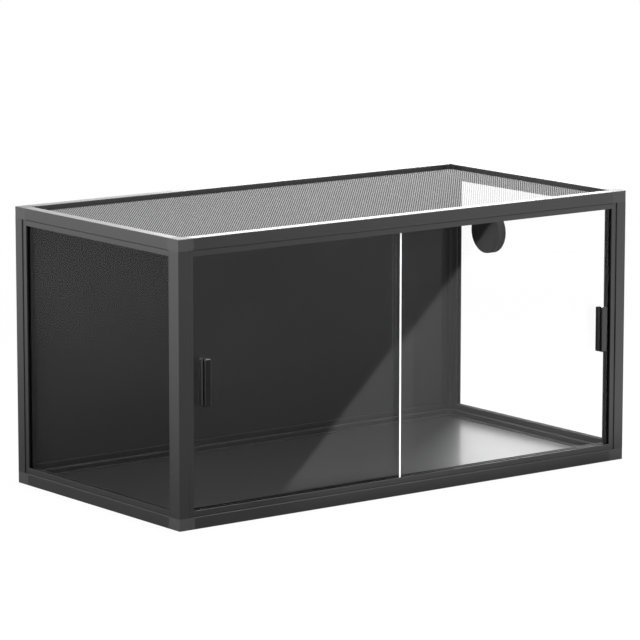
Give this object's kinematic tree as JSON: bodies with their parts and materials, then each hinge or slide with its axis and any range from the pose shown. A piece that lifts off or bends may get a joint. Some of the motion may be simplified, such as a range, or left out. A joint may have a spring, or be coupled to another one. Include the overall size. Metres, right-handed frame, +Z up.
{
  "type": "reptile terrarium",
  "caption": "Knock-down glass terrarium: slotted tube frame, sliding glass front doors with finger pulls, black back and floor, lift-out mesh top and a round cable port.",
  "frame": {"origin": "under the middle of the square tube frame, on the surface it stands on; the door handles stand 14.5 mm further forward than the frame, so the bounding box's middle is 7 mm in front of it", "axes": "+X to the right along the front, +Y from the sliding doors to the back panel, +Z up"},
  "size_m": [1.2, 0.6145, 0.6],
  "materials": {
    "frame_black": "satin black powder coat on extruded aluminium",
    "connector_black": "fine-grained moulded nylon, a shade lighter than the rails",
    "clear_glass": "clear float glass with ground edges",
    "panel_black": "semi-gloss black PVC board",
    "gasket_rubber": "soft matte black glazing strip",
    "track_black": "extruded black PVC",
    "handle_black": "smooth black moulded plastic",
    "pad_foam": "dark grey adhesive foam",
    "screen_steel": "plain woven steel wire",
    "port_black": "smooth black moulded plastic"
  },
  "bodies": {
    "frame": {"connector_front_left_bottom": "connector_black", "connector_front_right_bottom": "connector_black", "connector_rear_left_bottom": "connector_black", "connector_rear_right_bottom": "connector_black", "connector_front_left_top": "connector_black", "connector_front_right_top": "connector_black", "connector_rear_left_top": "connector_black", "connector_rear_right_top": "connector_black", "pillar_front_left": "frame_black", "pillar_front_right": "frame_black", "pillar_rear_left": "frame_black", "pillar_rear_right": "frame_black", "rail_front_bottom": "frame_black", "rail_rear_bottom": "frame_black", "rail_front_top": "frame_black", "rail_rear_top": "frame_black", "rail_left_bottom": "frame_black", "rail_right_bottom": "frame_black", "rail_left_top": "frame_black", "rail_right_top": "frame_black", "glass_left": "clear_glass", "glass_right": "clear_glass", "back_panel": "panel_black", "floor_panel": "panel_black", "gasket_left": "gasket_rubber", "gasket_right": "gasket_rubber", "gasket_back": "gasket_rubber", "gasket_floor": "gasket_rubber", "track_bottom_base": "track_black", "track_bottom_front_rib": "track_black", "track_bottom_divider": "track_black", "track_bottom_rear_rib": "track_black", "track_top_base": "track_black", "track_top_front_rib": "track_black", "track_top_divider": "track_black", "track_top_rear_rib": "track_black", "channel_left_base": "track_black", "channel_left_front_rib": "track_black", "channel_left_divider": "track_black", "channel_left_rear_rib": "track_black", "channel_right_base": "track_black", "channel_right_front_rib": "track_black", "channel_right_divider": "track_black", "channel_right_rear_rib": "track_black", "port_flange": "port_black", "port_nut": "port_black"},
    "left_door": {"door_pane_left": "clear_glass", "handle_left": "handle_black", "handle_pad_left": "pad_foam"},
    "right_door": {"door_pane_right": "clear_glass", "handle_right": "handle_black", "handle_pad_right": "pad_foam"},
    "screen": {"screen_frame": "frame_black", "screen_mesh": "screen_steel"},
    "port_cover": {"port_cap": "port_black"}
  },
  "joints": [
    {"name": "left_door_slide", "type": "slide", "parent": "frame", "child": "left_door", "axis": [1, 0, 0], "range_m": [0, 0.247]},
    {"name": "right_door_slide", "type": "slide", "parent": "frame", "child": "right_door", "axis": [1, 0, 0], "range_m": [-0.247, 0]},
    {"name": "screen_lift", "type": "slide", "parent": "frame", "child": "screen", "axis": [0, 0, 1], "range_m": [0, 0.03]},
    {"name": "port_cap_turn", "type": "hinge", "parent": "frame", "child": "port_cover", "pos_m": [0.58, 0.15, 0.458], "axis": [1, 0, 0], "continuous": true}
  ]
}
